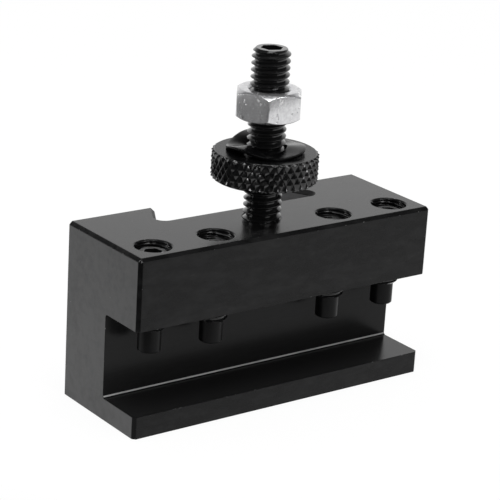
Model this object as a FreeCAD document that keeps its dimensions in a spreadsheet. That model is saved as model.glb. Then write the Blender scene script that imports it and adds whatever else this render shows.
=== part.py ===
import FreeCAD, Part
import Sketcher
import math
import os

# Quick change tool holder: a dovetailed block with a slot for a lathe tool,
# four clamping screws over the slot and a height stud with its two nuts.
# Millimetres. X runs along the tool, Y from the tool slot to the dovetail,
# Z up. The origin is the middle of the block's underside.

os.makedirs("parts", exist_ok=True)
doc = FreeCAD.newDocument("tool_holder")

# Driving dimensions
SIZES = {
    # Block
    "block_length": 54.0,
    "block_depth": 19.6,
    "block_height": 27.75,
    "edge_chamfer": 0.5,
    # Tool slot
    "lip_thickness": 3.45,
    "slot_height": 13.2,
    "slot_depth": 8.4,
    "slot_fillet": 0.4,
    # Dovetail
    "dovetail_mouth": 24.1,
    "dovetail_depth": 6.2,
    "dovetail_land": 0.75,
    "dovetail_angle": 30.0,
    "dovetail_fillet": 1.1,
    "dovetail_chamfer": 0.65,
    # Clamping screws
    "screw_diameter": 5.0,
    "screw_length": 15.2,
    "screw_setback": 4.3,
    "screw_end_margin": 5.0,
    "screw_pitch": 11.0,
    "dog_diameter": 3.5,
    "dog_length": 3.5,
    "dog_shoulder": 0.5,
    "dog_tip_chamfer": 0.17,
    "screw_key": 2.5,
    "screw_key_turn": 15.0,
    "screw_socket_depth": 2.5,
    "screw_end_chamfer": 0.35,
    "hole_countersink": 0.35,
    "tip_drop_first": 4.95,
    "tip_drop_second": 5.5,
    "tip_drop_third": 5.5,
    "tip_drop_fourth": 5.15,
    # Height stud
    "stud_diameter": 5.85,
    "stud_setback": 7.9,
    "stud_seat": 9.0,
    "stud_rise": 26.2,
    "stud_key": 3.0,
    "stud_key_turn": 10.0,
    "stud_socket_depth": 3.0,
    "stud_end_chamfer": 0.6,
    # Running clearance between a screw thread and its hole, on the radius
    "thread_clearance": 0.05,
    # Knurled height nut
    "knurl_diameter": 16.3,
    "knurl_depth": 0.45,
    "knurl_row": 0.94,
    "knurl_bevel": 0.3,
    "height_nut_thickness": 4.35,
    "height_nut_rise": 6.15,
    "bore_countersink": 0.35,
    # Spring washer
    "washer_diameter": 11.9,
    "washer_bore": 6.4,
    "washer_thickness": 0.4,
    "wave_height": 0.87,
    "wave_unevenness": 0.47,
    "wave_turn": 74.0,
    "unevenness_turn": 100.0,
    # Lock nut
    "lock_nut_flats": 9.5,
    "lock_nut_height": 4.5,
    "lock_nut_rise": 15.6,
    "lock_nut_face": 9.0,
    "lock_nut_bevel": 34.0,
    "lock_nut_turn": -7.5,
}
KNURL_COUNT = 37
WAVE_COUNT = 3

# Points round each edge of the washer
WASHER_POINTS = 48

# How far a cutting outline runs past the material
OVERRUN = "1"

sizes = doc.addObject("Spreadsheet::Sheet", "sizes")
for row, (name, number) in enumerate(SIZES.items(), start=1):
    sizes.set("A%d" % row, name)
    sizes.set("B%d" % row, str(number))
    sizes.setAlias("B%d" % row, name)
doc.recompute()


def value(expression):
    """The number that an expression on the sheet gives."""
    result = sizes.evalExpression(expression)
    return float(getattr(result, "Value", result))


def origin_plane(body, role):
    """One of the three origin planes of a body."""
    for feature in body.Origin.OriginFeatures:
        if feature.Role == role:
            return feature
    raise RuntimeError("no plane " + role)


def new_sketch(body, name, role, lift=None):
    """A sketch on an origin plane of its own body, lifted along the normal."""
    sketch = body.newObject("Sketcher::SketchObject", name)
    sketch.AttachmentSupport = [(origin_plane(body, role), "")]
    sketch.MapMode = "FlatFace"
    if lift is not None:
        sketch.setExpression("AttachmentOffset.Base.z", lift)
    return sketch


def pin_point(sketch, geometry, position, across, up):
    """Hold a sketch point at two expressions, measured from the origin."""
    for kind, axis, expression in (("DistanceX", -2, across), ("DistanceY", -1, up)):
        if expression == "0":
            sketch.addConstraint(Sketcher.Constraint("PointOnObject", geometry, position, axis))
            continue
        number = value(expression)
        index = sketch.addConstraint(Sketcher.Constraint(kind, -1, 1, geometry, position, number))
        sketch.setExpression("Constraints[%d]" % index, expression)


def add_outline(sketch, corners):
    """A closed outline through corners, each a pair of expressions."""
    points = [FreeCAD.Vector(value(across), value(up), 0) for across, up in corners]
    first = sketch.GeometryCount
    count = len(points)
    for index in range(count):
        sketch.addGeometry(Part.LineSegment(points[index], points[(index + 1) % count]), False)
    for index in range(count):
        following = first + (index + 1) % count
        sketch.addConstraint(Sketcher.Constraint("Coincident", first + index, 2, following, 1))
    for index, (across, up) in enumerate(corners):
        pin_point(sketch, first + index, 1, across, up)


def add_circle(sketch, across, up, radius):
    """A circle with its centre at two expressions."""
    centre = FreeCAD.Vector(value(across), value(up), 0)
    circle = Part.Circle(centre, FreeCAD.Vector(0, 0, 1), value(radius))
    index = sketch.addGeometry(circle, False)
    pin_point(sketch, index, 3, across, up)
    size = sketch.addConstraint(Sketcher.Constraint("Radius", index, value(radius)))
    sketch.setExpression("Constraints[%d]" % size, radius)


def hexagon_corners(flats, turn):
    """Corners of a hexagon across its flats, turned by a number of degrees."""
    corners = []
    for corner in range(6):
        angle = "(%d + %s) * 1 deg" % (60 * corner, turn)
        reach = "%s / 2 / cos(30 deg)" % flats
        corners.append(("%s * cos(%s)" % (reach, angle), "%s * sin(%s)" % (reach, angle)))
    return corners


def revolve(body, sketch, name, kind="PartDesign::Revolution"):
    """A full turn of a sketch about its vertical axis."""
    feature = body.newObject(kind, name)
    feature.Profile = sketch
    feature.ReferenceAxis = (sketch, ["V_Axis"])
    feature.Angle = 360
    return feature


def cut_down(body, sketch, name, depth=None, upward=False):
    """A pocket, through everything if it has no depth."""
    feature = body.newObject("PartDesign::Pocket", name)
    feature.Profile = sketch
    feature.Reversed = upward
    if depth is None:
        feature.Type = "ThroughAll"
    else:
        feature.Type = "Length"
        feature.setExpression("Length", depth)
    return feature


def edge_names(shape, wanted, arcs=False):
    """Names of the straight edges, and the arcs if asked, whose ends pass a test."""
    names = []
    for number, edge in enumerate(shape.Edges, start=1):
        if arcs or isinstance(edge.Curve, Part.Line):
            ends = [vertex.Point for vertex in edge.Vertexes]
            if wanted(ends[0], ends[1]):
                names.append("Edge%d" % number)
    return names


def near(first, second):
    return abs(first - second) < 0.001


HALF_LENGTH = "sizes.block_length / 2"
HALF_DEPTH = "sizes.block_depth / 2"
SLOT_CEILING = "sizes.lip_thickness + sizes.slot_height"
SLOT_WALL = "sizes.slot_depth - sizes.block_depth / 2"
SCREW_ROW = "sizes.screw_setback - sizes.block_depth / 2"
STUD_ROW = "sizes.stud_setback - sizes.block_depth / 2"


def make_block():
    """The holder's block: a C section with a dovetail across its back."""
    body = doc.addObject("PartDesign::Body", "block")
    body.Label = "holder_block"

    section = new_sketch(body, "block_section", "YZ_Plane")
    add_outline(section, [
        ("-" + HALF_DEPTH, "0"),
        (HALF_DEPTH, "0"),
        (HALF_DEPTH, "sizes.block_height"),
        ("-" + HALF_DEPTH, "sizes.block_height"),
        ("-" + HALF_DEPTH, SLOT_CEILING),
        (SLOT_WALL, SLOT_CEILING),
        (SLOT_WALL, "sizes.lip_thickness"),
        ("-" + HALF_DEPTH, "sizes.lip_thickness"),
    ])
    bar = body.newObject("PartDesign::Pad", "block_bar")
    bar.Profile = section
    bar.Midplane = True
    bar.setExpression("Length", "sizes.block_length")
    doc.recompute()

    # Inner corners of the slot, left by the cutter
    wall = value(SLOT_WALL)
    slot_corners = edge_names(bar.Shape, lambda a, b: near(a.y, wall) and near(b.y, wall)
                              and near(a.z, b.z))
    slot_fillet = body.newObject("PartDesign::Fillet", "slot_fillet")
    slot_fillet.Base = (bar, slot_corners)
    slot_fillet.setExpression("Radius", "sizes.slot_fillet")
    doc.recompute()

    # Dovetail: a short straight mouth, then flanks that lean outwards
    mouth = "sizes.dovetail_mouth / 2"
    land = HALF_DEPTH + " - sizes.dovetail_land"
    floor = HALF_DEPTH + " - sizes.dovetail_depth"
    spread = ("(sizes.dovetail_mouth / 2 + (sizes.dovetail_depth - sizes.dovetail_land)"
              " * tan(sizes.dovetail_angle * 1 deg))")
    beyond = HALF_DEPTH + " + " + OVERRUN
    dovetail = new_sketch(body, "dovetail_outline", "XY_Plane")
    add_outline(dovetail, [
        ("-" + mouth, beyond),
        ("-" + mouth, land),
        ("-" + spread, floor),
        (spread, floor),
        (mouth, land),
        (mouth, beyond),
    ])
    way = cut_down(body, dovetail, "dovetail_way", upward=True)
    doc.recompute()
    floor_line = value(floor)
    way_corners = edge_names(way.Shape, lambda a, b: near(a.y, floor_line) and near(b.y, floor_line)
                             and near(a.x, b.x))
    way_fillet = body.newObject("PartDesign::Fillet", "dovetail_fillet")
    way_fillet.Base = (way, way_corners)
    way_fillet.setExpression("Radius", "sizes.dovetail_fillet")
    doc.recompute()

    side = value(HALF_LENGTH)
    face = value(HALF_DEPTH)
    top = value("sizes.block_height")

    def on_side(a, b):
        return near(abs(a.x), side) and near(a.x, b.x)

    def on_face(a, b):
        return near(abs(a.y), face) and near(a.y, b.y)

    def on_top(a, b):
        return near(a.z, top) and near(b.z, top)

    # Chamfer round the top of the dovetail
    def way_rim(a, b):
        return on_top(a, b) and not on_side(a, b) and not on_face(a, b)

    way_chamfer = body.newObject("PartDesign::Chamfer", "dovetail_chamfer")
    way_chamfer.Base = (way_fillet, edge_names(way_fillet.Shape, way_rim, arcs=True))
    way_chamfer.setExpression("Size", "sizes.dovetail_chamfer")
    doc.recompute()

    # Chamfers on the other top edges and the four upright corners
    def outer_edge(a, b):
        return on_side(a, b) and on_face(a, b) or on_top(a, b) and (on_side(a, b) or on_face(a, b))

    chamfer = body.newObject("PartDesign::Chamfer", "edge_chamfer")
    chamfer.Base = (way_chamfer, edge_names(way_chamfer.Shape, outer_edge))
    chamfer.setExpression("Size", "sizes.edge_chamfer")
    doc.recompute()

    # Tapped holes of the clamping screws, each with a small countersink
    drill = "sizes.screw_diameter / 2 + sizes.thread_clearance"
    screw_plan = new_sketch(body, "screw_plan", "XY_Plane", "sizes.block_height")
    cone_plan = new_sketch(body, "countersink_plan", "XY_Plane", "sizes.block_height")
    for across, _ in SCREW_PLACES:
        add_circle(screw_plan, across, SCREW_ROW, drill)
        add_circle(cone_plan, across, SCREW_ROW, drill + " + sizes.hole_countersink")
    cut_down(body, screw_plan, "screw_holes", "sizes.block_height - (%s)" % SLOT_CEILING)
    doc.recompute()
    countersink = cut_down(body, cone_plan, "screw_countersinks", "sizes.hole_countersink")
    countersink.TaperAngle = -45
    doc.recompute()

    # Blind tapped hole of the stud
    stud_plan = new_sketch(body, "stud_plan", "XY_Plane", "sizes.block_height")
    add_circle(stud_plan, "0", STUD_ROW, "sizes.stud_diameter / 2 + sizes.thread_clearance")
    cut_down(body, stud_plan, "stud_hole", "sizes.stud_seat")
    doc.recompute()
    return body


# Where each clamping screw stands along the block, and how far its tip hangs
# below the slot's ceiling
OUTER_SCREW = "(sizes.block_length / 2 - sizes.screw_end_margin)"
INNER_SCREW = "(sizes.block_length / 2 - sizes.screw_end_margin - sizes.screw_pitch)"
SCREW_PLACES = [
    ("-" + OUTER_SCREW, "sizes.tip_drop_first"),
    ("-" + INNER_SCREW, "sizes.tip_drop_second"),
    (INNER_SCREW, "sizes.tip_drop_third"),
    (OUTER_SCREW, "sizes.tip_drop_fourth"),
]


def make_set_screw(number, across, tip_drop):
    """A socket set screw with a long dog point, its tip at its own origin."""
    body = doc.addObject("PartDesign::Body", "screw_%d" % number)
    body.Label = "set_screw_%d" % number
    thread = "sizes.screw_diameter / 2"
    dog = "sizes.dog_diameter / 2"
    profile = new_sketch(body, "screw_profile_%d" % number, "XZ_Plane")
    add_outline(profile, [
        ("0", "0"),
        (dog + " - sizes.dog_tip_chamfer", "0"),
        (dog, "sizes.dog_tip_chamfer"),
        (dog, "sizes.dog_length"),
        (thread + " - sizes.dog_shoulder", "sizes.dog_length"),
        (thread, "sizes.dog_length + sizes.dog_shoulder"),
        (thread, "sizes.screw_length - sizes.screw_end_chamfer"),
        (thread + " - sizes.screw_end_chamfer", "sizes.screw_length"),
        ("0", "sizes.screw_length"),
    ])
    revolve(body, profile, "screw_shank_%d" % number)
    doc.recompute()
    socket = new_sketch(body, "screw_key_%d" % number, "XY_Plane", "sizes.screw_length")
    add_outline(socket, hexagon_corners("sizes.screw_key", "sizes.screw_key_turn"))
    cut_down(body, socket, "screw_socket_%d" % number, "sizes.screw_socket_depth")
    doc.recompute()
    body.setExpression("Placement.Base.x", across)
    body.setExpression("Placement.Base.y", SCREW_ROW)
    body.setExpression("Placement.Base.z", "%s - %s" % (SLOT_CEILING, tip_drop))
    return body


def make_stud():
    """The height stud, screwed to the bottom of its blind hole."""
    body = doc.addObject("PartDesign::Body", "stud")
    body.Label = "height_stud"
    thread = "sizes.stud_diameter / 2"
    length = "sizes.stud_seat + sizes.stud_rise"
    chamfer = "sizes.stud_end_chamfer"
    profile = new_sketch(body, "stud_profile", "XZ_Plane")
    add_outline(profile, [
        ("0", "0"),
        ("%s - %s" % (thread, chamfer), "0"),
        (thread, chamfer),
        (thread, "%s - %s" % (length, chamfer)),
        ("%s - %s" % (thread, chamfer), length),
        ("0", length),
    ])
    revolve(body, profile, "stud_shank")
    doc.recompute()
    socket = new_sketch(body, "stud_key_outline", "XY_Plane", length)
    add_outline(socket, hexagon_corners("sizes.stud_key", "sizes.stud_key_turn"))
    cut_down(body, socket, "stud_socket", "sizes.stud_socket_depth")
    doc.recompute()
    body.setExpression("Placement.Base.y", STUD_ROW)
    body.setExpression("Placement.Base.z", "sizes.block_height - sizes.stud_seat")
    return body


def diamond_facets(low_ring, high_ring, row):
    """Flat facets between two rings of a diamond knurl.

    Points and hollows take turns round each ring. Each four-sided gap between
    the rings is split along the groove, from hollow to hollow.
    """
    facets = []
    count = len(low_ring)
    for column in range(count):
        after = (column + 1) % count
        low_left, low_right = low_ring[column], low_ring[after]
        high_left, high_right = high_ring[column], high_ring[after]
        if (row + column) % 2 == 0:
            facets.append((low_left, low_right, high_left))
            facets.append((high_right, high_left, low_right))
        else:
            facets.append((low_right, high_right, low_left))
            facets.append((high_left, low_left, high_right))
    return facets


def knurl_solid(radius, depth, height, bevel, rows):
    """A closed solid with a diamond knurl round it and a bevel at each end.

    Points stand out at the full radius, and hollows and both end rims lie
    deeper by the knurl's depth.
    """
    columns = 2 * KNURL_COUNT
    row_height = (height - 2 * bevel) / rows
    heights = [0.0] + [bevel + row * row_height for row in range(rows + 1)] + [height]
    rings = []
    for level, lift in enumerate(heights):
        at_end = level in (0, len(heights) - 1)
        ring = []
        for column in range(columns):
            is_point = (level + column) % 2 == 0 and not at_end
            reach = radius if is_point else radius - depth
            angle = math.pi * column / KNURL_COUNT
            ring.append(FreeCAD.Vector(reach * math.cos(angle), reach * math.sin(angle), lift))
        rings.append(ring)
    faces = []
    for level in range(len(rings) - 1):
        for corners in diamond_facets(rings[level], rings[level + 1], level):
            faces.append(Part.Face(Part.makePolygon(list(corners) + [corners[0]])))
    for ring in (rings[0], rings[-1]):
        faces.append(Part.Face(Part.makePolygon(ring + [ring[0]])))
    solid = Part.Solid(Part.Shell(faces))
    if solid.Volume < 0:
        solid.reverse()
    return solid


def make_height_nut():
    """The knurled height nut: a bored and countersunk disc with a diamond knurl."""
    height = value("sizes.height_nut_thickness")
    bevel = value("sizes.knurl_bevel")
    rows = max(1, round((height - 2 * bevel) / value("sizes.knurl_row")))
    knurl = doc.addObject("Part::Feature", "knurled_disc")
    knurl.Label = "knurled_disc"
    knurl.Shape = knurl_solid(value("sizes.knurl_diameter / 2"), value("sizes.knurl_depth"),
                              height, bevel, rows)

    bore = "(sizes.stud_diameter / 2 + sizes.thread_clearance)"
    mouth = bore + " + sizes.bore_countersink"
    thickness = "sizes.height_nut_thickness"
    drill = doc.addObject("PartDesign::Body", "nut_drill")
    drill.Label = "nut_drill"
    profile = new_sketch(drill, "nut_drill_profile", "XZ_Plane")
    add_outline(profile, [
        ("0", "0"),
        (mouth, "0"),
        (bore, "sizes.bore_countersink"),
        (bore, "%s - sizes.bore_countersink" % thickness),
        (mouth, thickness),
        ("0", thickness),
    ])
    revolve(drill, profile, "nut_drill_turn")
    doc.recompute()

    nut = doc.addObject("Part::Cut", "knurled_nut")
    nut.Label = "height_nut"
    nut.Base = knurl
    nut.Tool = drill
    nut.setExpression("Placement.Base.y", STUD_ROW)
    nut.setExpression("Placement.Base.z", "sizes.block_height + sizes.height_nut_rise")
    doc.recompute()
    return nut


def wave_rise(angle):
    """How far the washer's underside stands off the nut at an angle."""
    lobe = value("sizes.wave_height")
    lobe += value("sizes.wave_unevenness") * math.cos(angle - math.radians(value("sizes.unevenness_turn")))
    swing = math.cos(WAVE_COUNT * (angle - math.radians(value("sizes.wave_turn"))))
    return lobe * (1 + swing) / 2


def make_washer():
    """The spring washer: a thin ring bent into three waves of unequal height."""
    inner = value("sizes.washer_bore / 2")
    outer = value("sizes.washer_diameter / 2")
    thickness = value("sizes.washer_thickness")

    def ring_edge(radius, lift):
        points = []
        for step in range(WASHER_POINTS):
            angle = 2 * math.pi * step / WASHER_POINTS
            points.append(FreeCAD.Vector(radius * math.cos(angle), radius * math.sin(angle),
                                         wave_rise(angle) + lift))
        curve = Part.BSplineCurve()
        curve.interpolate(points, PeriodicFlag=True)
        return curve.toShape()

    low_in = ring_edge(inner, 0)
    low_out = ring_edge(outer, 0)
    high_in = ring_edge(inner, thickness)
    high_out = ring_edge(outer, thickness)
    pairs = [(low_in, low_out), (low_out, high_out), (high_out, high_in), (high_in, low_in)]
    faces = [Part.makeRuledSurface(first, second) for first, second in pairs]
    shell = Part.makeShell(faces)
    shell.sewShape()
    solid = Part.Solid(shell)
    if solid.Volume < 0:
        solid.reverse()
    washer = doc.addObject("Part::Feature", "washer")
    washer.Label = "spring_washer"
    washer.Shape = solid
    seat = value("sizes.block_height + sizes.height_nut_rise + sizes.height_nut_thickness")
    washer.Placement.Base = FreeCAD.Vector(0, value(STUD_ROW), seat)
    return washer


def make_lock_nut():
    """The hexagon lock nut, bevelled at both ends."""
    body = doc.addObject("PartDesign::Body", "hexagon_nut")
    body.Label = "lock_nut"
    plan = new_sketch(body, "lock_nut_plan", "XY_Plane")
    add_outline(plan, hexagon_corners("sizes.lock_nut_flats", "sizes.lock_nut_turn"))
    pad = body.newObject("PartDesign::Pad", "lock_nut_bar")
    pad.Profile = plan
    pad.setExpression("Length", "sizes.lock_nut_height")
    doc.recompute()

    # Cones that take the corners off at each end
    face = "sizes.lock_nut_face / 2"
    reach = "(sizes.lock_nut_flats / 2 / cos(30 deg) + %s)" % OVERRUN
    fall = "(%s - %s) * tan(sizes.lock_nut_bevel * 1 deg)" % (reach, face)
    cones = new_sketch(body, "lock_nut_cones", "XZ_Plane")
    add_outline(cones, [(face, "0"), (reach, "0"), (reach, fall)])
    add_outline(cones, [
        (face, "sizes.lock_nut_height"),
        (reach, "sizes.lock_nut_height"),
        (reach, "sizes.lock_nut_height - " + fall),
    ])
    revolve(body, cones, "lock_nut_bevels", "PartDesign::Groove")
    doc.recompute()

    bore = "(sizes.stud_diameter / 2 + sizes.thread_clearance)"
    mouth = bore + " + sizes.bore_countersink"
    hole = new_sketch(body, "lock_nut_hole", "XZ_Plane")
    add_outline(hole, [
        ("0", "0"),
        (mouth, "0"),
        (bore, "sizes.bore_countersink"),
        (bore, "sizes.lock_nut_height - sizes.bore_countersink"),
        (mouth, "sizes.lock_nut_height"),
        ("0", "sizes.lock_nut_height"),
    ])
    revolve(body, hole, "lock_nut_bore", "PartDesign::Groove")
    doc.recompute()
    body.setExpression("Placement.Base.y", STUD_ROW)
    body.setExpression("Placement.Base.z", "sizes.block_height + sizes.lock_nut_rise")
    return body


def check(sub_parts):
    """Stop if any object failed or any sub-part's solid is unsound."""
    for item in doc.Objects:
        if "Invalid" in item.State or "Error" in item.State:
            raise RuntimeError("%s failed: %s" % (item.Name, item.State))
    for item in sub_parts:
        shape = item.Shape
        if shape.isNull() or not shape.isValid() or len(shape.Solids) != 1:
            raise RuntimeError("%s has no sound solid" % item.Label)


sub_parts = [make_block(), make_stud(), make_height_nut(), make_washer(), make_lock_nut()]
for number, (across, tip_drop) in enumerate(SCREW_PLACES, start=1):
    sub_parts.append(make_set_screw(number, across, tip_drop))
doc.recompute()
check(sub_parts)

for item in sub_parts:
    item.Shape.exportStep("parts/%s.step" % item.Label)
    box = item.Shape.BoundBox
    print("%-14s faces %4d  volume %9.2f  x %.2f..%.2f  y %.2f..%.2f  z %.2f..%.2f" % (
        item.Label, len(item.Shape.Faces), item.Shape.Volume,
        box.XMin, box.XMax, box.YMin, box.YMax, box.ZMin, box.ZMax))
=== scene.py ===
import math

import bmesh
import bpy
from mathutils import Matrix, Vector


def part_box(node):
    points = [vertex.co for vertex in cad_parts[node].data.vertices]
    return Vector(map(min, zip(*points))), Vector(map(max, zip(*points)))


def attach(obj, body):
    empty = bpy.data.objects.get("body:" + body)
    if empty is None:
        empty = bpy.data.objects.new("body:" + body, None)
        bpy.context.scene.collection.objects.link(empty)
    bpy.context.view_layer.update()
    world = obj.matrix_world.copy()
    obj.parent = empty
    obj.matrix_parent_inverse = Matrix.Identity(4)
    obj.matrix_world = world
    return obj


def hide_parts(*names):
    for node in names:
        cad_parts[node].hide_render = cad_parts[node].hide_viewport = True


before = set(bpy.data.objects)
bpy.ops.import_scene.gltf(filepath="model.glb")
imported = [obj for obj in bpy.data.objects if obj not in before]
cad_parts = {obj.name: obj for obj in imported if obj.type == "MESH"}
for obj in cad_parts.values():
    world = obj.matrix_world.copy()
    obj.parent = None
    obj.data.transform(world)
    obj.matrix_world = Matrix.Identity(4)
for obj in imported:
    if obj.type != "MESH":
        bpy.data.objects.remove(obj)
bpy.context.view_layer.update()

# Quick change tool holder: a black dovetailed block with a tool slot, four
# clamping screws, and a height stud with a knurled nut, a spring washer and a
# zinc-plated lock nut. Metres, in the frame of the CAD model: X along the
# slot, Y towards the dovetail, Z up. Angles are in degrees.

block_low, block_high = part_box("holder_block")

MM = 0.001

# Height stud
STUD_PITCH = 1.04 * MM
STUD_THREAD_DEPTH = 0.52 * MM
STUD_THREAD_SHIFT = -0.36 * MM
STUD_KEY = 3.0 * MM
STUD_KEY_TURN = 10.0
STUD_SOCKET_DEPTH = 3.0 * MM
STUD_END_CHAMFER = 0.6 * MM

# Clamping screws
SCREW_COUNT = 4
SCREW_PITCH = 0.8 * MM
SCREW_THREAD_DEPTH = 0.42 * MM
SCREW_KEY = 2.5 * MM
SCREW_KEY_TURN = 15.0
SCREW_SOCKET_DEPTH = 2.5 * MM
SCREW_END_CHAMFER = 0.35 * MM
DOG_RADIUS = 1.75 * MM
DOG_LENGTH = 3.5 * MM
DOG_SHOULDER = 0.5 * MM
DOG_ROUNDING = 0.17 * MM

# Depth of the drill point at a socket's bottom
SOCKET_POINT = 0.4 * MM

# One turn of a thread: places along the pitch, each with its rise from root to crest
THREAD_PROFILE = ((0.0, 0.0), (0.10, 0.0), (0.20, 0.30), (0.32, 0.68), (0.42, 0.96), (0.50, 1.0),
                  (0.58, 0.96), (0.68, 0.68), (0.80, 0.30), (0.90, 0.0), (1.0, 0.0))
THREAD_STEPS = 40

# Threaded mouths of the clamping screws' holes, below their countersinks
MOUTH_CLEARANCE = 0.05 * MM
MOUTH_COUNTERSINK = 0.35 * MM
MOUTH_LENGTH = 2.4 * MM
MOUTH_THREAD_DEPTH = 0.3 * MM
MOUTH_STEP = 0.03 * MM
MOUTH_CONE = 1.5
MOUTH_REACH = 1.2

# Small rounds and chamfers on edges, the angles past which an edge is sharp,
# and the one up to which neighbouring triangles lie in one plane
BLOCK_EDGE = 0.07 * MM
BLOCK_SHARP = 35.0
KNURL_EDGE = 0.035 * MM
KNURL_SHARP = 14.0
WASHER_EDGE = 0.06 * MM
WASHER_SHARP = 50.0
NUT_FOOT = 0.3 * MM
NUT_CORNER = 0.2 * MM
NUT_EDGE = 0.11 * MM
NUT_SHARP = 25.0
FLAT_ANGLE = 0.5

# Where the parts of the block and the lock nut are told apart
WAY_HALF = 16.0 * MM
LIP_LEVEL = 4.0 * MM
SLOT_INSIDE = -5.0 * MM
NUT_SIDE = 1.0 * MM
NUT_BORE = 4.2 * MM

# How much of a face's normal goes along an axis: hardly any where the normal is
# across the axis, nearly all where it points along it, and shares in between
ACROSS = 0.1
ALONG = 0.9
HALFWAY = 0.5
FLANK_LEAN = 0.6
CHAMFER_LEAN = 0.3
ROUND_TURN = -0.02
ROUND_LEAN = 0.65

# Slack in merging points, and in finding levels, rims, cuts and walls
COPY_GAP = 0.002 * MM
SEAM_GAP = 0.0005 * MM
LEVEL_GAP = 0.001 * MM
RIM_GAP = 0.0001 * MM
CUT_GAP = 0.00001 * MM
WALL_GAP = 0.02 * MM

# Places of the finishes in each piece's list of materials
PLAIN = 0
END, EDGE, WAY, CORNER, LIP, SLOT_FLOOR, SLOT_WALL, WAY_TOP = range(1, 9)
HIGHLIGHT_RING = 1
DOG = 2
NUT_FACE = 1
ZINC_TOP_SHADED = 1


# Shapes

def merged_copy(node):
    """The CAD node's mesh with its loose triangles joined up."""
    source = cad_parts[node]
    bm = bmesh.new()
    bm.from_mesh(source.data)
    bm.transform(source.matrix_world)
    bmesh.ops.remove_doubles(bm, verts=bm.verts, dist=COPY_GAP)
    bmesh.ops.recalc_face_normals(bm, faces=bm.faces)
    return bm


def flat_copy(node):
    """A merged copy with the triangles that lie in one plane made one face."""
    bm = merged_copy(node)
    bmesh.ops.dissolve_limit(bm, angle_limit=math.radians(FLAT_ANGLE), verts=bm.verts,
                             edges=bm.edges, use_dissolve_boundaries=False)
    return bm


def finished_mesh(name, bm):
    """The mesh of a shape that isn't worked on any further."""
    mesh = bpy.data.meshes.new(name)
    bm.to_mesh(mesh)
    bm.free()
    return mesh


def sharp_edges(bm, degrees):
    """Edges at which two faces meet at more than an angle."""
    limit = math.radians(degrees)
    return [edge for edge in bm.edges if edge.is_manifold and edge.calc_face_angle(0.0) > limit]


def soften(bm, edges, width, segments):
    """A small flat or round on edges, as deburring leaves."""
    return bmesh.ops.bevel(bm, geom=edges, offset=width, offset_type="OFFSET", segments=segments,
                           profile=0.5, affect="EDGES", clamp_overlap=True, material=-1)["faces"]


def height_of(face):
    """The level of a face's middle."""
    return face.calc_center_median().z


def rim_at(bm, height):
    """Open edges that lie level at a height."""
    return [edge for edge in bm.edges if edge.is_boundary
            and all(abs(vert.co.z - height) < RIM_GAP for vert in edge.verts)]


def step_rim(bm, rim, scale, lift):
    """Carry an open rim on: drawn in or out by scale, and lifted."""
    made = bmesh.ops.extrude_edge_only(bm, edges=rim)["geom"]
    verts = [item for item in made if isinstance(item, bmesh.types.BMVert)]
    bmesh.ops.scale(bm, vec=(scale, scale, 1.0), verts=verts)
    bmesh.ops.translate(bm, vec=(0.0, 0.0, lift), verts=verts)
    return [item for item in made if isinstance(item, bmesh.types.BMEdge) and item.is_boundary]


def thread_turns(root, depth, pitch, start, count):
    """A thread's surface about Z: one turn spun from its profile, then stacked."""
    bm = bmesh.new()
    profile = [bm.verts.new((root + depth * rise, 0.0, start + pitch * along))
               for along, rise in THREAD_PROFILE]
    edges = [bm.edges.new(pair) for pair in zip(profile, profile[1:])]
    bmesh.ops.spin(bm, geom=profile + edges, cent=(0.0, 0.0, 0.0), axis=(0.0, 0.0, 1.0),
                   dvec=(0.0, 0.0, pitch / THREAD_STEPS), angle=2.0 * math.pi,
                   steps=THREAD_STEPS, use_merge=False, use_duplicate=False)
    turn = bm.verts[:] + bm.edges[:] + bm.faces[:]
    for number in range(1, count):
        copied = bmesh.ops.duplicate(bm, geom=turn)["geom"]
        verts = [item for item in copied if isinstance(item, bmesh.types.BMVert)]
        bmesh.ops.translate(bm, vec=(0.0, 0.0, pitch * number), verts=verts)
    bmesh.ops.remove_doubles(bm, verts=bm.verts, dist=SEAM_GAP)
    return bm


def thread_surface(crest, depth, pitch, low, high, low_end, high_end, shift=0.0, plain_below=None):
    """A right-hand thread about Z between two levels.

    low_end and high_end give the radius at each end, and how fast the cone
    there opens, so that the ends are turned to true circles. shift moves the
    crests along Z. Below the level plain_below the thread has run out.
    """
    count = math.ceil((high - low) / pitch) + 2
    bm = thread_turns(crest - depth, depth, pitch, low - pitch + shift, count)
    for level, normal in ((low, (0, 0, -1)), (high, (0, 0, 1))):
        bmesh.ops.bisect_plane(bm, geom=bm.verts[:] + bm.edges[:] + bm.faces[:], dist=CUT_GAP,
                               plane_co=(0.0, 0.0, level), plane_no=normal, clear_outer=True)
    for vert in bm.verts:
        reach = math.hypot(vert.co.x, vert.co.y)
        cap = min(low_end[0] + (vert.co.z - low) * low_end[1],
                  high_end[0] + (high - vert.co.z) * high_end[1])
        run_out = plain_below is not None and vert.co.z < plain_below
        wanted = min(cap, crest if run_out else reach)
        vert.co.x *= wanted / reach
        vert.co.y *= wanted / reach
    return bm


def close_rim(bm, rim, sink=0.0):
    """Close an open rim, with a shallow drill point in the middle where sink is given."""
    face = bmesh.ops.edgeloop_fill(bm, edges=rim)["faces"]
    if sink:
        point = bmesh.ops.poke(bm, faces=face)["verts"]
        bmesh.ops.translate(bm, vec=(0.0, 0.0, -sink), verts=point)


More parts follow.
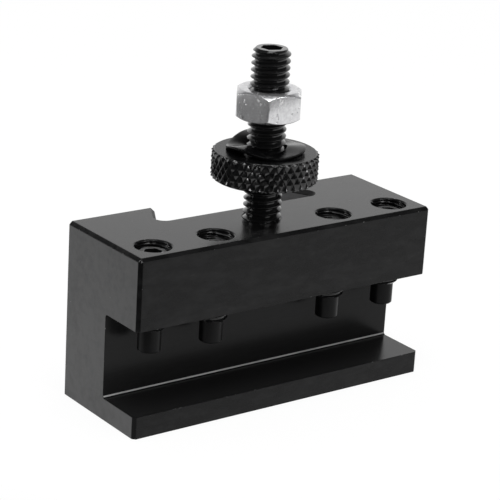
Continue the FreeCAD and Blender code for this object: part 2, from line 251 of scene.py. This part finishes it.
def cut_socket(bm, rim, top, key, turn, depth):
    """A hexagon socket in an end that is still an open rim."""
    mouth = Matrix.Translation((0.0, 0.0, top)) @ Matrix.Rotation(math.radians(turn), 4, "Z")
    made = bmesh.ops.create_circle(bm, cap_ends=False, segments=6, radius=key / math.sqrt(3.0),
                                   matrix=mouth)["verts"]
    hexagon = list({edge for vert in made for edge in vert.link_edges})
    # The ring between the outer rim and the socket takes the pale finish, a painted highlight
    for face in bmesh.ops.bridge_loops(bm, edges=rim + hexagon)["faces"]:
        face.material_index = HIGHLIGHT_RING
    outside = set(bm.faces)
    bottom = step_rim(bm, hexagon, 1.0, -depth)
    close_rim(bm, bottom, SOCKET_POINT)
    for face in bm.faces:
        if face not in outside:
            face.material_index = PLAIN


def stand_at(bm, box):
    """Move a piece turned about Z to the middle of a CAD node."""
    low, high = box
    bmesh.ops.translate(bm, vec=((low.x + high.x) / 2, (low.y + high.y) / 2, 0.0), verts=bm.verts)
    bmesh.ops.remove_doubles(bm, verts=bm.verts, dist=SEAM_GAP)
    bmesh.ops.recalc_face_normals(bm, faces=bm.faces)


def stud_shape():
    """The height stud: threaded above the block, plain inside it, with a socket."""
    low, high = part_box("height_stud")
    crest = (high.x - low.x) / 2
    end = (crest - STUD_END_CHAMFER, 1.0)
    bm = thread_surface(crest, STUD_THREAD_DEPTH, STUD_PITCH, low.z, high.z, end, end,
                        STUD_THREAD_SHIFT, block_high.z)
    close_rim(bm, rim_at(bm, low.z))
    cut_socket(bm, rim_at(bm, high.z), high.z, STUD_KEY, STUD_KEY_TURN, STUD_SOCKET_DEPTH)
    stand_at(bm, (low, high))
    return bm


def set_screw_shape(node):
    """A clamping screw: thread, socket, and a plain dog point below."""
    low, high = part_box(node)
    crest = (high.x - low.x) / 2
    shoulder = low.z + DOG_LENGTH
    low_end = (crest - DOG_SHOULDER, 1.0)
    high_end = (crest - DOG_SHOULDER, DOG_SHOULDER / SCREW_END_CHAMFER)
    bm = thread_surface(crest, SCREW_THREAD_DEPTH, SCREW_PITCH, shoulder, high.z, low_end, high_end)
    rim = step_rim(bm, rim_at(bm, shoulder), DOG_RADIUS / low_end[0], 0.0)
    rim = step_rim(bm, rim, 1.0, DOG_ROUNDING - DOG_LENGTH)
    rim = step_rim(bm, rim, 1.0 - DOG_ROUNDING / DOG_RADIUS, -DOG_ROUNDING)
    close_rim(bm, rim)
    cut_socket(bm, rim_at(bm, high.z), high.z, SCREW_KEY, SCREW_KEY_TURN, SCREW_SOCKET_DEPTH)
    stand_at(bm, (low, high))
    for face in bm.faces:
        if height_of(face) < shoulder - DOG_ROUNDING / 2:
            face.material_index = DOG
    return bm


def thread_mouth(bm, node):
    """Cut a thread into the wall of a clamping screw's hole, near its mouth."""
    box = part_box(node)
    centre = ((box[0] + box[1]) / 2).xy
    wall = (box[1].x - box[0].x) / 2 + MOUTH_CLEARANCE
    low = block_high.z - MOUTH_LENGTH
    high = block_high.z - MOUTH_COUNTERSINK

    def is_wall(face):
        return all(abs((vert.co.xy - centre).length - wall) < WALL_GAP
                   and vert.co.z < high + LEVEL_GAP for vert in face.verts)

    hole = [face for face in bm.faces if is_wall(face)]
    parts = hole + list({edge for face in hole for edge in face.edges})
    parts += list({vert for face in hole for vert in face.verts})
    bmesh.ops.bisect_plane(bm, geom=parts, dist=CUT_GAP, plane_co=(0.0, 0.0, low),
                           plane_no=(0.0, 0.0, 1.0))
    upper = [face for face in bm.faces if is_wall(face) and height_of(face) > low]
    bmesh.ops.delete(bm, geom=upper, context="FACES_ONLY")
    end = (wall + MOUTH_STEP, MOUTH_CONE)
    thread = thread_surface(wall + MOUTH_THREAD_DEPTH, MOUTH_THREAD_DEPTH, SCREW_PITCH, low, high,
                            end, end)
    bmesh.ops.translate(thread, vec=(centre.x, centre.y, 0.0), verts=thread.verts)
    sleeve = finished_mesh("sleeve", thread)
    bm.from_mesh(sleeve)
    bpy.data.meshes.remove(sleeve)
    for level in (low, high):
        rims = [edge for edge in rim_at(bm, level)
                if all((vert.co.xy - centre).length < MOUTH_REACH * wall for vert in edge.verts)]
        bmesh.ops.bridge_loops(bm, edges=rims)


def is_flank(face):
    """Whether a face of the block is one of the dovetail's slanting sides."""
    return (abs(face.normal.z) < ACROSS and abs(face.normal.x) > FLANK_LEAN
            and abs(face.calc_center_median().x) < WAY_HALF)


def is_corner_round(face):
    """Whether a face belongs to the round in the tool slot's inner corner."""
    return (abs(face.normal.x) < ACROSS and face.normal.y < ROUND_TURN
            and ACROSS < face.normal.z < ROUND_LEAN and height_of(face) < LIP_LEVEL)


def is_lip_chamfer(face):
    """Whether a face is an upright chamfer of the lip."""
    return (abs(face.normal.z) < ACROSS and face.normal.y < -HALFWAY
            and abs(face.normal.x) > HALFWAY and height_of(face) < LIP_LEVEL)


def is_slot_floor(face):
    """Whether a face is the top of the lip, on which the tool lies."""
    return face.normal.z > ALONG and height_of(face) < LIP_LEVEL


def is_slot_wall(face):
    """Whether a face is the tool slot's upright back wall."""
    return face.normal.y < -ALONG and face.calc_center_median().y > SLOT_INSIDE


def is_way_chamfer(face):
    """Whether a face is part of the chamfer round the dovetail way's top edge."""
    middle = face.calc_center_median()
    return CHAMFER_LEAN < face.normal.z < ALONG and middle.y > 0.0 and abs(middle.x) < WAY_HALF


def is_end(face):
    """Whether a face looks along the slot, as the block's two ends do."""
    return abs(face.normal.x) > ALONG


BLOCK_PARTS = ((is_flank, WAY), (is_corner_round, CORNER), (is_lip_chamfer, LIP),
               (is_slot_floor, SLOT_FLOOR), (is_slot_wall, SLOT_WALL), (is_way_chamfer, WAY_TOP),
               (is_end, END))


def block_part(face):
    """The part of the block that a face belongs to: the first that it fits."""
    for fits, part in BLOCK_PARTS:
        if fits(face):
            return part
    return PLAIN


def block_shape():
    """The block with threaded hole mouths, small flats on its edges and its parts told apart."""
    bm = flat_copy("holder_block")
    countersink = block_high.z - MOUTH_COUNTERSINK
    edges = [edge for edge in sharp_edges(bm, BLOCK_SHARP)
             if any(abs(vert.co.z - countersink) > LEVEL_GAP for vert in edge.verts)]
    for number in range(1, SCREW_COUNT + 1):
        thread_mouth(bm, "set_screw_%d" % number)
    flats = set(soften(bm, [edge for edge in edges if edge.is_valid], BLOCK_EDGE, segments=1))
    for face in bm.faces:
        face.material_index = EDGE if face in flats else block_part(face)
    return bm


def height_nut_shape():
    """The knurled nut, with the knurl's sharp points and grooves just broken."""
    bm = flat_copy("height_nut")
    soften(bm, sharp_edges(bm, KNURL_SHARP), KNURL_EDGE, segments=1)
    for face in bm.faces:
        if abs(face.normal.z) > ALONG:
            face.material_index = NUT_FACE
    return bm


def lock_nut_shape():
    """The hexagon nut: a chamfered foot, rounded corners and softened edges."""
    bm = flat_copy("lock_nut")
    low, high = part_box("lock_nut")
    axis = ((low + high) / 2).xy
    foot = [edge for edge in sharp_edges(bm, NUT_SHARP)
            if all(abs(vert.co.z - low.z) < LEVEL_GAP and (vert.co.xy - axis).length > NUT_BORE
                   for vert in edge.verts)]
    soften(bm, foot, NUT_FOOT, segments=1)
    upright = [edge for edge in sharp_edges(bm, NUT_SHARP)
               if abs(edge.verts[0].co.z - edge.verts[1].co.z) > NUT_SIDE]
    soften(bm, upright, NUT_CORNER, segments=3)
    soften(bm, sharp_edges(bm, NUT_SHARP), NUT_EDGE, segments=2)
    # Faces that look upwards take a darker copy of the zinc: painted shade that makes the nut's top
    # darker than its sides
    for face in bm.faces:
        if face.normal.z > HALFWAY:
            face.material_index = ZINC_TOP_SHADED
    return bm


def washer_shape():
    """The wave washer with its punched edges rounded."""
    bm = merged_copy("spring_washer")
    soften(bm, sharp_edges(bm, WASHER_SHARP), WASHER_EDGE, segments=2)
    return bm


# Materials

def grey(level, blue=0.0):
    """A grey, with a little more blue where that is given."""
    return (level, level, level + blue, 1.0)


WHITE = grey(1.0)

# Streaks of each cut, and even grain: how quickly they change along X, Y and Z
GROUND_STREAKS = (260.0, 3000.0, 3000.0)
SAWN_STREAKS = (1500.0, 2600.0, 500.0)
MILLED_STREAKS = (500.0, 500.0, 2600.0)
CORNER_HIGHLIGHT_STREAKS = (160.0, 4000.0, 4000.0)
TURNED_GRAIN = (1500.0, 1500.0, 1500.0)
KNURL_GRAIN = (1300.0, 1300.0, 1300.0)
EVEN_GRAIN = (900.0, 900.0, 900.0)

# Bright nicks, black knocked off about a corner, and the oil film's slow drift
SPECK_CRISPNESS = 25.0
NICK_SCALE = 1400.0
KNOCK_SCALE = 1900.0
KNOCK_LEVELS = (0.50, 0.85)
KNOCK_COLOUR = grey(0.30)
CORNER_REACH = 2.0 * MM
KNOCKED_CORNER = (block_low.x, block_low.y, block_high.z)
DRIFT_STREAKS = (90.0, 220.0, 220.0)
FILM_ENDS = (0.45, 0.80)
FILM_COLOUR = grey(0.024, blue=0.0005)

# Zinc plate: its metallic share falls where there is a pale fleck
ZINC_GRAIN = (1500.0, 1500.0, 700.0)
ZINC_MOTTLE = (520.0, 520.0, 420.0)
ZINC_ROUGHNESS = (0.12, 0.36)
ZINC_METALLIC = (0.76, 0.1)
SCRATCH_TURN = (0.5, 0.9, 0.3)
SCRATCH_STRETCH = (0.25, 1.6, 1.0)
SCRATCH_SCALE = 1100.0
SCRATCH_COLOUR = grey(0.24)
DENT_SCALE = 900.0
DENT_DEPTH = 0.05 * MM
MARK_LEVEL = 0.66
FLECK_SCALE = 560.0
FLECK_LEVEL = 0.64
GRAIN_DEPTH = 0.02 * MM


def new_group(name, inputs, outputs):
    """A shader node group with named sockets."""
    tree = bpy.data.node_groups.new(name, "ShaderNodeTree")
    for label, kind, default in inputs:
        socket = tree.interface.new_socket(label, in_out="INPUT", socket_type=kind)
        if default is not None:
            socket.default_value = default
    for label, kind in outputs:
        tree.interface.new_socket(label, in_out="OUTPUT", socket_type=kind)
    return tree, tree.nodes.new("NodeGroupInput"), tree.nodes.new("NodeGroupOutput")


def add_node(tree, kind, links=None, **settings):
    """A node with its settings, and its inputs linked or set by name or number."""
    node = tree.nodes.new(kind)
    for name, setting in settings.items():
        setattr(node, name, setting)
    for socket, source in (links or {}).items():
        if isinstance(source, bpy.types.NodeSocket):
            tree.links.new(source, node.inputs[socket])
        else:
            node.inputs[socket].default_value = source
    return node


def grain_group():
    """Streaks of a grinding or turning cut, as a value about one half."""
    tree, given, result = new_group(
        "cut_grain",
        [("Vector", "NodeSocketVector", None), ("Stretch", "NodeSocketVector", (1.0, 1.0, 1.0))],
        [("Value", "NodeSocketFloat")])
    scaled = add_node(tree, "ShaderNodeVectorMath", {0: given.outputs["Vector"],
                                                     1: given.outputs["Stretch"]},
                      operation="MULTIPLY")
    coarse = add_node(tree, "ShaderNodeTexNoise", {"Vector": scaled.outputs[0], "Scale": 1.0,
                                                   "Detail": 4.0, "Roughness": 0.65})
    fine = add_node(tree, "ShaderNodeTexNoise", {"Vector": scaled.outputs[0], "Scale": 3.7,
                                                 "Detail": 2.0, "Roughness": 0.6})
    both = add_node(tree, "ShaderNodeMath", {0: coarse.outputs["Fac"], 1: fine.outputs["Fac"]},
                    operation="ADD")
    half = add_node(tree, "ShaderNodeMath", {0: both.outputs[0], 1: 0.5}, operation="MULTIPLY")
    tree.links.new(half.outputs[0], result.inputs["Value"])
    return tree


def speck_group():
    """Sparse small spots, as a mask from 0 to 1: the higher the level, the fewer."""
    tree, given, result = new_group(
        "sparse_specks",
        [("Vector", "NodeSocketVector", None), ("Scale", "NodeSocketFloat", 1000.0),
         ("Level", "NodeSocketFloat", 0.7)],
        [("Mask", "NodeSocketFloat")])
    noise = add_node(tree, "ShaderNodeTexNoise", {"Vector": given.outputs["Vector"],
                                                  "Scale": given.outputs["Scale"],
                                                  "Detail": 3.0, "Roughness": 0.7})
    over = add_node(tree, "ShaderNodeMath", {0: noise.outputs["Fac"], 1: given.outputs["Level"]},
                    operation="SUBTRACT")
    mask = add_node(tree, "ShaderNodeMath", {0: over.outputs[0], 1: SPECK_CRISPNESS},
                    operation="MULTIPLY", use_clamp=True)
    tree.links.new(mask.outputs[0], result.inputs["Mask"])
    return tree


GRAIN = grain_group()
SPECKS = speck_group()


def grouped(tree, group, **values):
    """What a node group puts out, placed in a material with its own values."""
    return add_node(tree, "ShaderNodeGroup", values, node_tree=group).outputs[0]


def combined(tree, operation, first, second):
    """Two values put together by arithmetic."""
    return add_node(tree, "ShaderNodeMath", {0: first, 1: second}, operation=operation).outputs[0]


def ranged(tree, source, start, end, low=0.0, high=1.0, **settings):
    """A value that goes from start to end while its source goes from low to high."""
    return add_node(tree, "ShaderNodeMapRange", {"Value": source, "From Min": low,
                                                 "From Max": high, "To Min": start,
                                                 "To Max": end}, **settings).outputs[0]


def mixed(tree, factor, first, second):
    """A colour between two colours: the second one where the factor is 1."""
    return add_node(tree, "ShaderNodeMix", {0: factor, 6: first, 7: second},
                    data_type="RGBA").outputs[2]


def blended(tree, factor, first, second):
    """A value between two values: the second one where the factor is 1."""
    return add_node(tree, "ShaderNodeMix", {0: factor, 2: first, 3: second}).outputs[0]


def empty_tree(owner):
    """The cleared node tree of a material or a world."""
    owner.use_nodes = True
    owner.node_tree.nodes.clear()
    return owner.node_tree


def new_material(name):
    """A material with a bare shader, and the coordinates that its textures lie in."""
    material = bpy.data.materials.new(name)
    tree = empty_tree(material)
    shader = tree.nodes.new("ShaderNodeBsdfPrincipled")
    add_node(tree, "ShaderNodeOutputMaterial", {"Surface": shader.outputs[0]})
    place = tree.nodes.new("ShaderNodeTexCoord").outputs["Object"]
    return material, tree, shader, place


def knock_off(tree, place, colour, corner):
    """Steel bared in small knocks, the more the nearer to a corner."""
    away = add_node(tree, "ShaderNodeVectorMath", {0: place, 1: corner},
                    operation="DISTANCE").outputs["Value"]
    level = ranged(tree, away, *KNOCK_LEVELS, high=CORNER_REACH)
    knocks = grouped(tree, SPECKS, Vector=place, Scale=KNOCK_SCALE, Level=level)
    return mixed(tree, knocks, colour, KNOCK_COLOUR)


def black_finish(name, dark, light, rough, streaks, bump, specular, nick_level=0.0,
                 nick_colour=None, cloud=0.0, corner=None):
    """Blackened steel: dark, satin, with the streaks of its last cut and bright nicks.

    rough holds the roughness of the dark streaks and of the light ones. cloud is
    how much it changes from place to place, as oiled steel's does. corner is a
    point about which the black has been knocked off.
    """
    material, tree, shader, place = new_material(name)
    grain = grouped(tree, GRAIN, Vector=place, Stretch=streaks)
    colour = mixed(tree, grain, dark, light)
    if corner:
        colour = knock_off(tree, place, colour, corner)
    if nick_level:
        nicks = grouped(tree, SPECKS, Vector=place, Scale=NICK_SCALE, Level=nick_level)
        colour = mixed(tree, nicks, colour, nick_colour)
    roughness = ranged(tree, grain, *rough)
    if cloud:
        drift = grouped(tree, GRAIN, Vector=place, Stretch=DRIFT_STREAKS)
        roughness = combined(tree, "ADD", roughness, ranged(tree, drift, -cloud, cloud))
        film = ranged(tree, drift, 0.0, 1.0, *FILM_ENDS)
        colour = mixed(tree, film, colour, FILM_COLOUR)
    tree.links.new(colour, shader.inputs["Base Color"])
    tree.links.new(roughness, shader.inputs["Roughness"])
    shader.inputs["Specular IOR Level"].default_value = specular
    raised = add_node(tree, "ShaderNodeBump", {"Height": grain, "Distance": bump,
                                               "Strength": 1.0})
    tree.links.new(raised.outputs[0], shader.inputs["Normal"])
    return material


def zinc_finish(name, dark, light):
    """Bright zinc plate: mottled, with scratches, pale flecks and small dents."""
    material, tree, shader, place = new_material(name)
    grain = grouped(tree, GRAIN, Vector=place, Stretch=ZINC_GRAIN)
    mottle = grouped(tree, GRAIN, Vector=place, Stretch=ZINC_MOTTLE)
    across = add_node(tree, "ShaderNodeMapping", {0: place, "Rotation": SCRATCH_TURN,
                                                  "Scale": SCRATCH_STRETCH}).outputs[0]
    scratch = grouped(tree, SPECKS, Vector=across, Scale=SCRATCH_SCALE, Level=MARK_LEVEL)
    dent = grouped(tree, SPECKS, Vector=place, Scale=DENT_SCALE, Level=MARK_LEVEL)
    fleck = grouped(tree, SPECKS, Vector=place, Scale=FLECK_SCALE, Level=FLECK_LEVEL)
    colour = mixed(tree, mottle, dark, light)
    colour = mixed(tree, scratch, colour, SCRATCH_COLOUR)
    colour = mixed(tree, fleck, colour, WHITE)
    tree.links.new(colour, shader.inputs["Base Color"])
    tree.links.new(ranged(tree, grain, *ZINC_ROUGHNESS), shader.inputs["Roughness"])
    tree.links.new(ranged(tree, fleck, *ZINC_METALLIC), shader.inputs["Metallic"])
    dented = add_node(tree, "ShaderNodeBump", {"Height": dent, "Distance": DENT_DEPTH,
                                               "Strength": 1.0}, invert=True)
    raised = add_node(tree, "ShaderNodeBump", {"Height": grain, "Distance": GRAIN_DEPTH,
                                               "Strength": 1.0, "Normal": dented.outputs[0]})
    tree.links.new(raised.outputs[0], shader.inputs["Normal"])
    return material


# Finishes of the block
BLOCK_FINISH = black_finish(
    "ground_block", dark=grey(0.003), light=grey(0.009, blue=0.0005), rough=(0.17, 0.30),
    streaks=GROUND_STREAKS, bump=0.004 * MM, specular=0.17, cloud=0.10, corner=KNOCKED_CORNER)
SLOT_FINISH = black_finish(
    "milled_slot", dark=grey(0.010), light=grey(0.020, blue=0.0005), rough=(0.17, 0.30),
    streaks=GROUND_STREAKS, bump=0.004 * MM, specular=0.17)
WALL_FINISH = black_finish(
    "milled_wall", dark=grey(0.010), light=grey(0.020, blue=0.0005), rough=(0.17, 0.30),
    streaks=GROUND_STREAKS, bump=0.004 * MM, specular=0.13)
CHAMFER_FINISH = black_finish(
    "rough_chamfer", dark=grey(0.010), light=grey(0.020, blue=0.0005), rough=(0.48, 0.60),
    streaks=EVEN_GRAIN, bump=0.004 * MM, specular=0.17)
END_FINISH = black_finish(
    "sawn_end", dark=grey(0.034, blue=0.001), light=grey(0.070, blue=0.002), rough=(0.36, 0.52),
    streaks=SAWN_STREAKS, bump=0.005 * MM, specular=0.48, nick_level=0.72,
    nick_colour=grey(0.14), cloud=0.10, corner=KNOCKED_CORNER)
EDGE_FINISH = black_finish(
    "worn_edge", dark=grey(0.003), light=grey(0.014, blue=0.001), rough=(0.24, 0.40),
    streaks=EVEN_GRAIN, bump=0.003 * MM, specular=0.14, nick_level=0.64,
    nick_colour=grey(0.25), corner=KNOCKED_CORNER)
WAY_FINISH = black_finish(
    "milled_way", dark=grey(0.08), light=grey(0.22, blue=0.005), rough=(0.36, 0.52),
    streaks=MILLED_STREAKS, bump=0.005 * MM, specular=0.4)
# The round in the tool slot's inner corner is painted pale grey: a painted highlight that stands in
# for the lamp's reflection along it
CORNER_HIGHLIGHT_FINISH = black_finish(
    "corner_painted_highlight", dark=grey(0.10), light=grey(0.90), rough=(0.20, 0.36),
    streaks=CORNER_HIGHLIGHT_STREAKS, bump=0.004 * MM, specular=0.8)

# Finishes of the stud and the clamping screws
SCREW_FINISH = black_finish(
    "blackened_thread", dark=grey(0.004), light=grey(0.014, blue=0.0008), rough=(0.08, 0.22),
    streaks=TURNED_GRAIN, bump=0.007 * MM, specular=0.44)
# Pale rings round the sockets of the stud and the screws: a painted highlight that stands in for a
# glint on their ends
HIGHLIGHT_RING_FINISH = black_finish(
    "turned_end_painted_highlight", dark=grey(0.03), light=grey(0.26), rough=(0.20, 0.36),
    streaks=TURNED_GRAIN, bump=0.010 * MM, specular=0.3)
DOG_FINISH = black_finish(
    "turned_dog", dark=grey(0.001), light=grey(0.008, blue=0.0005), rough=(0.28, 0.44),
    streaks=TURNED_GRAIN, bump=0.004 * MM, specular=0.12)

# Finishes of the nuts and the washer; the dull one, on the knurled nut's end faces, is also put on
# the lip's chamfers as painted shade for the floor's shadow that they reflect
KNURL_FINISH = black_finish(
    "blackened_knurl", dark=grey(0.001), light=grey(0.007, blue=0.0007), rough=(0.08, 0.20),
    streaks=KNURL_GRAIN, bump=0.005 * MM, specular=0.55)
DULL_AND_SHADE_FINISH = black_finish(
    "dull_face_and_painted_shade", dark=grey(0.001), light=grey(0.005, blue=0.0005), rough=(0.22, 0.34),
    streaks=TURNED_GRAIN, bump=0.004 * MM, specular=0.10)
WASHER_FINISH = black_finish(
    "spring_steel", dark=grey(0.001), light=grey(0.006, blue=0.0006), rough=(0.14, 0.26),
    streaks=EVEN_GRAIN, bump=0.003 * MM, specular=0.08)
ZINC_FINISH = zinc_finish("zinc_plate", dark=grey(0.46, blue=0.01), light=grey(0.98, blue=0.01))
# A darker copy of the same zinc for the nut's upward faces: painted shade, not a different plate
ZINC_TOP_SHADED_FINISH = zinc_finish("zinc_top_painted_shade", dark=grey(0.30, blue=0.01), light=grey(0.68, blue=0.01))


# Pieces

def add_object(name, data):
    """An object in the scene."""
    added = bpy.data.objects.new(name, data)
    bpy.context.scene.collection.objects.link(added)
    return added


def finished_piece(name, bm, body, node, materials, crease, weighted=False):
    """Turn a shape into a piece that stands for a CAD node.

    crease is the angle past which an edge shows sharp. weighted keeps large
    faces flat next to the small ones along their edges.
    """
    mesh = finished_mesh(name, bm)
    for face in mesh.polygons:
        face.use_smooth = True
    mesh.set_sharp_from_angle(angle=math.radians(crease))
    for material in materials:
        mesh.materials.append(material)
    piece = add_object(name, mesh)
    if weighted:
        normals = piece.modifiers.new("flat_faces", "WEIGHTED_NORMAL")
        normals.keep_sharp = True
    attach(piece, body)
    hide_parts(node)


# The lip's upright chamfers take the dull finish as painted shade: darker, standing in for their
# reflection of the floor's shadow
finished_piece("block", block_shape(), "holder", "holder_block",
               [BLOCK_FINISH, END_FINISH, EDGE_FINISH, WAY_FINISH, CORNER_HIGHLIGHT_FINISH, DULL_AND_SHADE_FINISH,
                SLOT_FINISH, WALL_FINISH, CHAMFER_FINISH], crease=50.0, weighted=True)
finished_piece("stud", stud_shape(), "holder", "height_stud",
               [SCREW_FINISH, HIGHLIGHT_RING_FINISH], crease=40.0)
for number in range(1, SCREW_COUNT + 1):
    node = "set_screw_%d" % number
    finished_piece("clamp_screw_%d" % number, set_screw_shape(node),
                   "clamp_screw_%d" % number, node,
                   [SCREW_FINISH, HIGHLIGHT_RING_FINISH, DOG_FINISH], crease=40.0)
finished_piece("knurled_nut", height_nut_shape(), "height_adjuster", "height_nut",
               [KNURL_FINISH, DULL_AND_SHADE_FINISH], crease=12.0)
finished_piece("wave_washer", washer_shape(), "height_adjuster", "spring_washer",
               [WASHER_FINISH], crease=35.0)
finished_piece("hexagon_nut", lock_nut_shape(), "locking_nut", "lock_nut",
               [ZINC_FINISH, ZINC_TOP_SHADED_FINISH], crease=30.0)


# Studio

# Camera at the photograph's angle
CAMERA_PLACE = (-0.17532, -0.229643, 0.122403)
CAMERA_TURN = (70.7741, -3.2424, -36.1740)
CAMERA_LENS = 144.334

# The backdrop faces the camera. Each edge is where the light changes smoothly,
# from one part of a ray's direction to another
BACKDROP_SIDE = (0.606, 0.795, 0.0)
BACKDROP_EDGE = (0.4, 0.85)
BACKDROP_TOP = (0.6, 0.8)
FRONT_EDGE = (-0.9, -0.3)
BACKDROP_LEVEL = 1.25
ROOM_LEVEL = 0.14
FRONT_LEVEL = 0.05
AMBIENT_LEVEL = 0.5
CAMERA_LEVEL = 1.0

# The sheet's left edge runs past a point to the left of the holder
SHEET_EDGE = (-40.0 * MM, -32.0 * MM)
SHEET_TURN = 28.8
SHEET_HALF = 1.5
SHEET_DROP = 0.03 * MM
SHEET_COLOUR = grey(0.85)
SHEET_GLOW = 1.08
SHEET_GLOW_SHARE = 0.85

# The lamps are aimed at a point among the nuts
LAMP_AIM = Vector((0.0, -0.002, 0.03))
LAMP_DISTANCE = 0.5


def seen_factor(tree, path):
    """1 for a ray that shows the background: camera, glossy or transmission."""
    first = combined(tree, "MAXIMUM", path["Is Camera Ray"], path["Is Glossy Ray"])
    return combined(tree, "MAXIMUM", first, path["Is Transmission Ray"])


def eased(tree, source, start, end, edge):
    """A value that goes smoothly from start to end across an edge."""
    return ranged(tree, source, start, end, *edge, interpolation_type="SMOOTHSTEP")


def make_world():
    """A white backdrop opposite the camera, in a room that is darker overhead and in front."""
    world = bpy.data.worlds.new("studio")
    bpy.context.scene.world = world
    tree = empty_tree(world)
    path = tree.nodes.new("ShaderNodeLightPath").outputs
    direction = tree.nodes.new("ShaderNodeTexCoord").outputs["Generated"]
    height = add_node(tree, "ShaderNodeSeparateXYZ", {0: direction}).outputs["Z"]
    facing = add_node(tree, "ShaderNodeVectorMath", {0: direction, 1: BACKDROP_SIDE},
                      operation="DOT_PRODUCT").outputs["Value"]
    wide = eased(tree, facing, 0.0, 1.0, BACKDROP_EDGE)
    tall = eased(tree, height, 1.0, 0.0, BACKDROP_TOP)
    backdrop = combined(tree, "MULTIPLY", wide, tall)
    room = eased(tree, facing, FRONT_LEVEL, ROOM_LEVEL, FRONT_EDGE)
    mirrored = blended(tree, backdrop, room, BACKDROP_LEVEL)
    level = blended(tree, path["Is Camera Ray"], mirrored, CAMERA_LEVEL)
    lighting = add_node(tree, "ShaderNodeBackground", {"Color": WHITE, "Strength": AMBIENT_LEVEL})
    showing = add_node(tree, "ShaderNodeBackground", {"Color": WHITE, "Strength": level})
    both = add_node(tree, "ShaderNodeMixShader", {0: seen_factor(tree, path),
                                                  1: lighting.outputs[0],
                                                  2: showing.outputs[0]})
    add_node(tree, "ShaderNodeOutputWorld", {"Surface": both.outputs[0]})


def floor_finish():
    """White that glows where it is seen, and still takes a soft shadow."""
    material = bpy.data.materials.new("white_table")
    tree = empty_tree(material)
    path = tree.nodes.new("ShaderNodeLightPath").outputs
    lit = add_node(tree, "ShaderNodeBsdfDiffuse", {"Color": SHEET_COLOUR})
    white = add_node(tree, "ShaderNodeEmission", {"Color": WHITE, "Strength": SHEET_GLOW})
    share = combined(tree, "MULTIPLY", seen_factor(tree, path), SHEET_GLOW_SHARE)
    both = add_node(tree, "ShaderNodeMixShader", {0: share, 1: lit.outputs[0],
                                                  2: white.outputs[0]})
    add_node(tree, "ShaderNodeOutputMaterial", {"Surface": both.outputs[0]})
    return material


def make_floor():
    """A white sheet that ends a little to the left of the holder."""
    place = (Matrix.Translation((*SHEET_EDGE, -SHEET_DROP))
             @ Matrix.Rotation(math.radians(SHEET_TURN), 4, "Z")
             @ Matrix.Translation((SHEET_HALF, 0.0, 0.0)))
    bm = bmesh.new()
    bmesh.ops.create_grid(bm, x_segments=1, y_segments=1, size=SHEET_HALF, matrix=place)
    mesh = finished_mesh("floor", bm)
    mesh.materials.append(floor_finish())
    floor = add_object("floor", mesh)


def soft_box(name, azimuth, elevation, width, height, radiance, lights=True):
    """A softbox aimed at the nuts, given by how bright its face is.

    One that lights nothing is there for its reflection in the polished parts.
    """
    around = math.radians(azimuth)
    up = math.radians(elevation)
    direction = Vector((math.cos(around) * math.cos(up), math.sin(around) * math.cos(up),
                        math.sin(up)))
    lamp = bpy.data.lights.new(name, "AREA")
    lamp.shape = "RECTANGLE"
    lamp.size = width
    lamp.size_y = height
    lamp.energy = radiance * math.pi * width * height
    light = add_object(name, lamp)
    light.location = LAMP_AIM + direction * LAMP_DISTANCE
    light.rotation_euler = direction.to_track_quat("Z", "Y").to_euler()
    light.visible_camera = False
    light.visible_diffuse = lights


def make_camera():
    """The camera that the scene is rendered with."""
    lens = bpy.data.cameras.new("photo_camera")
    lens.lens = CAMERA_LENS
    camera = add_object("photo_camera", lens)
    camera.location = CAMERA_PLACE
    camera.rotation_euler = [math.radians(angle) for angle in CAMERA_TURN]
    bpy.context.scene.camera = camera


make_world()
make_floor()
soft_box("left_lamp", azimuth=147.0, elevation=14.0, width=0.20, height=0.10, radiance=15.0,
         lights=False)
soft_box("right_lamp", azimuth=278.0, elevation=23.0, width=0.28, height=0.10, radiance=15.0,
         lights=False)
soft_box("front_lamp", azimuth=232.0, elevation=42.0, width=0.10, height=0.10, radiance=15.0,
         lights=False)
soft_box("top_softbox", azimuth=240.0, elevation=78.0, width=0.25, height=0.25, radiance=4.0)
make_camera()
bpy.context.scene.view_settings.view_transform = "Standard"
